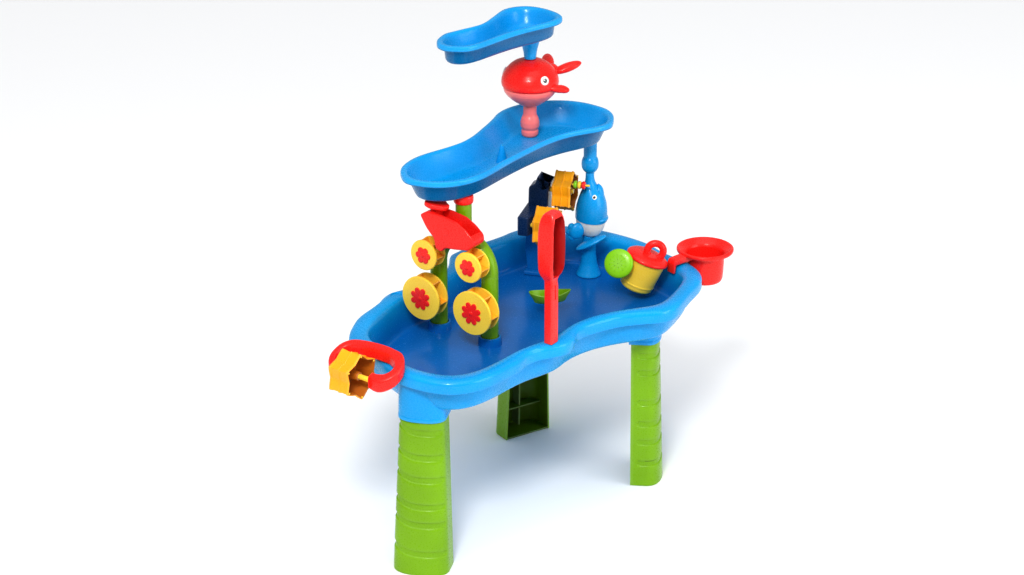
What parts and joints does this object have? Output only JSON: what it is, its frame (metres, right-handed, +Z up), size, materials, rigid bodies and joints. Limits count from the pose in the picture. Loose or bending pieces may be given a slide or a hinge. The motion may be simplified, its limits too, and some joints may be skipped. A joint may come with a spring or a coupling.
{
  "type": "sand and water table",
  "caption": "Water play table with a lobed basin on three legs, two cascading trays, a wheel arch, a tipping bucket, star wheels and whale figures.",
  "frame": {"origin": "centre of the bounding box at floor level", "axes": "+X along the basin, +Y towards its back, +Z up"},
  "size_m": [0.8684, 0.4642, 0.805],
  "materials": {
    "blue": "gloss",
    "green": "gloss",
    "yellow": "gloss",
    "orange": "gloss",
    "red": "gloss",
    "pink": "gloss",
    "white": "gloss",
    "navy": "gloss",
    "black": "gloss"
  },
  "bodies": {
    "table": {"basin": "blue", "mid_tray": "blue", "top_tray": "blue", "blue_whale_body": "blue", "whale_pedestal": "blue", "blue_whale_flipper": "blue", "leg_front_left": "green", "leg_front_right": "green", "leg_rear": "green", "arch_limb_left": "green", "arch_limb_right": "green", "arch_crown": "green", "bead_1": "green", "lower_pin_left": "green", "lower_pin_right": "green", "upper_pin_left": "green", "upper_pin_right": "green", "tipper_pin": "green", "bead_2": "yellow", "bead_rail": "yellow", "upper_star_pin": "yellow", "lower_star_pin": "yellow", "outlet_pin": "yellow", "red_whale_body": "red", "post_collar": "red", "outlet_yoke": "red", "bead_3": "red", "red_whale_jaw": "pink", "column_stem": "pink", "blue_whale_belly": "white", "red_eye_near_white": "white", "red_eye_far_white": "white", "blue_eye_near_white": "white", "blue_eye_far_white": "white", "tower_tail": "navy", "red_eye_near_pupil": "black", "red_eye_far_pupil": "black", "blue_eye_near_pupil": "black", "blue_eye_far_pupil": "black"},
    "wheel_lower_left": {"lower_wheel_left": "yellow", "lower_flower_left": "red"},
    "wheel_lower_right": {"lower_wheel_right": "yellow", "lower_flower_right": "red"},
    "wheel_upper_left": {"upper_wheel_left": "yellow", "upper_flower_left": "red"},
    "wheel_upper_right": {"upper_wheel_right": "yellow", "upper_flower_right": "red"},
    "tipper": {"tipper_bucket": "red"},
    "star_upper": {"upper_star_wheel": "orange"},
    "star_lower": {"lower_star_wheel": "orange"},
    "star_outlet": {"outlet_star_wheel": "orange"},
    "cup_piece": {"cup": "red"},
    "can_piece": {"watering_can": "yellow", "watering_can_lid": "red", "watering_can_neck": "yellow", "watering_can_rose": "green"},
    "shovel_piece": {"shovel": "red"},
    "boat_piece": {"boat": "green"},
    "plug": {"drain_plug": "blue"}
  },
  "joints": [
    {"name": "lower_wheel_right_spin", "type": "hinge", "parent": "table", "child": "wheel_lower_right", "pos_m": [-0.13018, -0.05107, 0.385], "axis": [-0.9664, -0.2571, 0], "continuous": true},
    {"name": "upper_wheel_right_spin", "type": "hinge", "parent": "table", "child": "wheel_upper_right", "pos_m": [-0.13215, -0.04367, 0.468], "axis": [-0.9664, -0.2571, 0], "continuous": true},
    {"name": "lower_wheel_left_spin", "type": "hinge", "parent": "table", "child": "wheel_lower_left", "pos_m": [-0.15845, 0.05519, 0.385], "axis": [-0.9664, -0.2571, 0], "continuous": true},
    {"name": "upper_wheel_left_spin", "type": "hinge", "parent": "table", "child": "wheel_upper_left", "pos_m": [-0.15648, 0.04779, 0.468], "axis": [-0.9664, -0.2571, 0], "continuous": true},
    {"name": "tipper_swing", "type": "hinge", "parent": "table", "child": "tipper", "pos_m": [-0.12834, 0.00424, 0.524], "axis": [-0.9664, -0.2571, 0], "range_deg": [0, 20]},
    {"name": "upper_star_spin", "type": "hinge", "parent": "table", "child": "star_upper", "pos_m": [0.22389, 0.11689, 0.473], "axis": [0.5839, -0.8118, 0], "continuous": true},
    {"name": "lower_star_spin", "type": "hinge", "parent": "table", "child": "star_lower", "pos_m": [0.15321, 0.08329, 0.431], "axis": [0.5839, -0.8118, 0], "continuous": true},
    {"name": "outlet_star_spin", "type": "hinge", "parent": "table", "child": "star_outlet", "pos_m": [-0.39485, -0.06706, 0.3569], "axis": [0.2251, -0.9743, 0], "continuous": true},
    {"name": "cup_lift", "type": "slide", "parent": "table", "child": "cup_piece", "axis": [0, 0, 1], "range_m": [0, 0.08]},
    {"name": "can_lift", "type": "slide", "parent": "table", "child": "can_piece", "axis": [0, 0, 1], "range_m": [0, 0.09]},
    {"name": "shovel_lift", "type": "slide", "parent": "table", "child": "shovel_piece", "axis": [0, 0, 1], "range_m": [0, 0.05]},
    {"name": "boat_lift", "type": "slide", "parent": "table", "child": "boat_piece", "axis": [0, 0, 1], "range_m": [0, 0.08]},
    {"name": "plug_pull", "type": "slide", "parent": "table", "child": "plug", "axis": [0, 0, -1], "range_m": [0, 0.03]}
  ]
}
